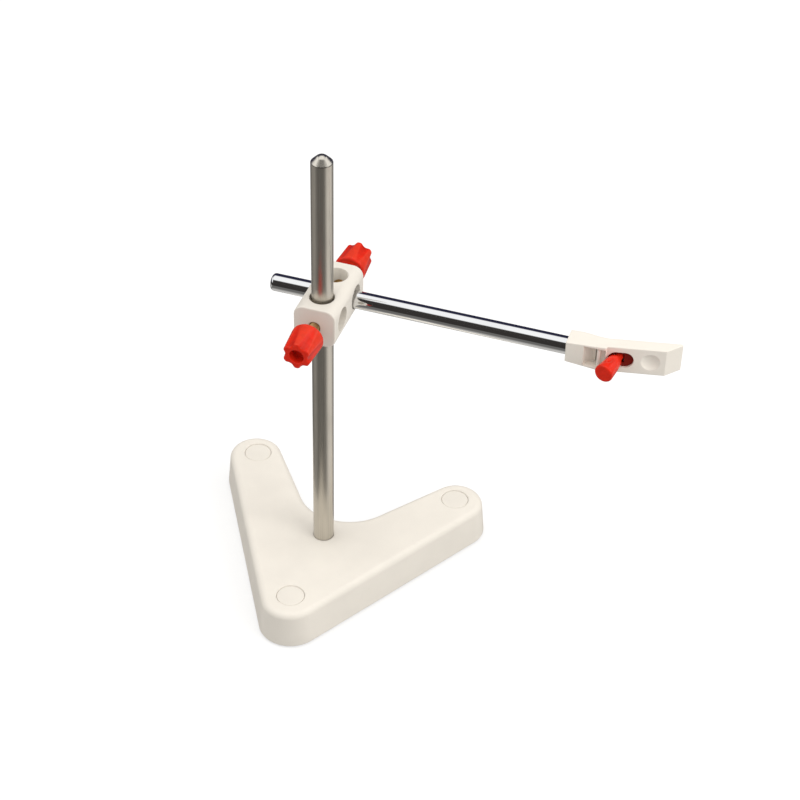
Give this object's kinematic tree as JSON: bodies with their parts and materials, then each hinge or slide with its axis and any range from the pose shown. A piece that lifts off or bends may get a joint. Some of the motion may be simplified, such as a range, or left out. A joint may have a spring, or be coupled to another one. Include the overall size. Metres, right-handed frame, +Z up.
{
  "type": "retort stand",
  "caption": "Small laboratory retort stand: weighted V base, steel upright, boss head with red screw knobs, chrome cross arm and a quick-release holder with a lever.",
  "frame": {"origin": "on the bench, under the axis of the upright", "axes": "+Z up along the upright; the base's front corner points to -Y and its legs open towards +Y; the cross arm runs along +X to the holder"},
  "size_m": [0.2753, 0.1465, 0.288],
  "materials": {
    "cream_plastic": "moulded, fine satin grain",
    "plug_plastic": "moulded, matt",
    "red_plastic": "moulded, semi-gloss",
    "brass": "turned",
    "satin_steel": "satin ground",
    "chrome": "polished plate",
    "plated_steel": "zinc plated",
    "cast_iron": "as cast, painted",
    "rubber": "matt sheet"
  },
  "bodies": {
    "base": {"base_shell": "cream_plastic", "ballast_plate": "cast_iron", "anti_slip_pad": "rubber", "shell_screws": "plated_steel", "plug_front": "plug_plastic", "plug_left": "plug_plastic", "plug_right": "plug_plastic"},
    "upright": {"upright_rod": "satin_steel", "upright_washer": "plated_steel", "upright_nut": "plated_steel"},
    "boss": {"boss_block": "cream_plastic", "front_bush": "brass", "rear_bush": "brass"},
    "front_clamp": {"front_screw": "brass"},
    "front_grip": {"front_knob": "red_plastic"},
    "rear_clamp": {"rear_screw": "brass"},
    "rear_grip": {"rear_knob": "red_plastic"},
    "arm": {"cross_arm": "chrome"},
    "holder": {"holder_body": "cream_plastic", "holder_cover": "cream_plastic", "cover_screws": "plated_steel", "neck_grub_screw": "plated_steel", "lever_pin": "plated_steel", "jaw_spring": "plated_steel"},
    "lever": {"clamp_lever": "red_plastic"},
    "jaw": {"jaw_slider": "red_plastic", "jaw_pad": "cream_plastic"}
  },
  "joints": [
    {"name": "upright_swivel", "type": "hinge", "parent": "base", "child": "upright", "pos_m": [0, 0, 0.1], "axis": [0, 0, 1], "continuous": true},
    {"name": "boss_lift", "type": "slide", "parent": "upright", "child": "boss", "axis": [0, 0, 1], "range_m": [-0.135, 0.08]},
    {"name": "front_screw_feed", "type": "slide", "parent": "boss", "child": "front_clamp", "axis": [0, -1, 0], "range_m": [0, 0.003]},
    {"name": "front_knob_turn", "type": "hinge", "parent": "front_clamp", "child": "front_grip", "pos_m": [0, -0.03, 0.1867], "axis": [0, -1, 0], "range_deg": [0, 1080]},
    {"name": "rear_screw_feed", "type": "slide", "parent": "boss", "child": "rear_clamp", "axis": [0, 1, 0], "range_m": [0, 0.003]},
    {"name": "rear_knob_turn", "type": "hinge", "parent": "rear_clamp", "child": "rear_grip", "pos_m": [0, 0.05, 0.1867], "axis": [0, 1, 0], "range_deg": [0, 1080]},
    {"name": "arm_slide", "type": "slide", "parent": "boss", "child": "arm", "axis": [1, 0, 0], "range_m": [-0.115, 0.025]},
    {"name": "arm_roll", "type": "hinge", "parent": "arm", "child": "holder", "pos_m": [0.136, 0.02095, 0.18495], "axis": [1, 0, 0], "continuous": true},
    {"name": "lever_swing", "type": "hinge", "parent": "holder", "child": "lever", "pos_m": [0.16114, 0.02266, 0.18495], "axis": [0, 0, 1], "range_deg": [0, 51], "stiffness_Nm_per_rad": 0.004, "springref_deg": -34.38},
    {"name": "jaw_slide", "type": "slide", "parent": "holder", "child": "jaw", "axis": [0.9781, 0.2079, 0], "range_m": [0, 0.0023], "deforming": ["jaw_spring"]}
  ],
  "couplings": [
    {"joint": "front_screw_feed", "follows": "front_knob_turn", "m_per_rad": 0.00015915},
    {"joint": "rear_screw_feed", "follows": "rear_knob_turn", "m_per_rad": 0.00015915},
    {"joint": "jaw_slide", "follows": "lever_swing", "m_per_rad": 0.0025721}
  ]
}
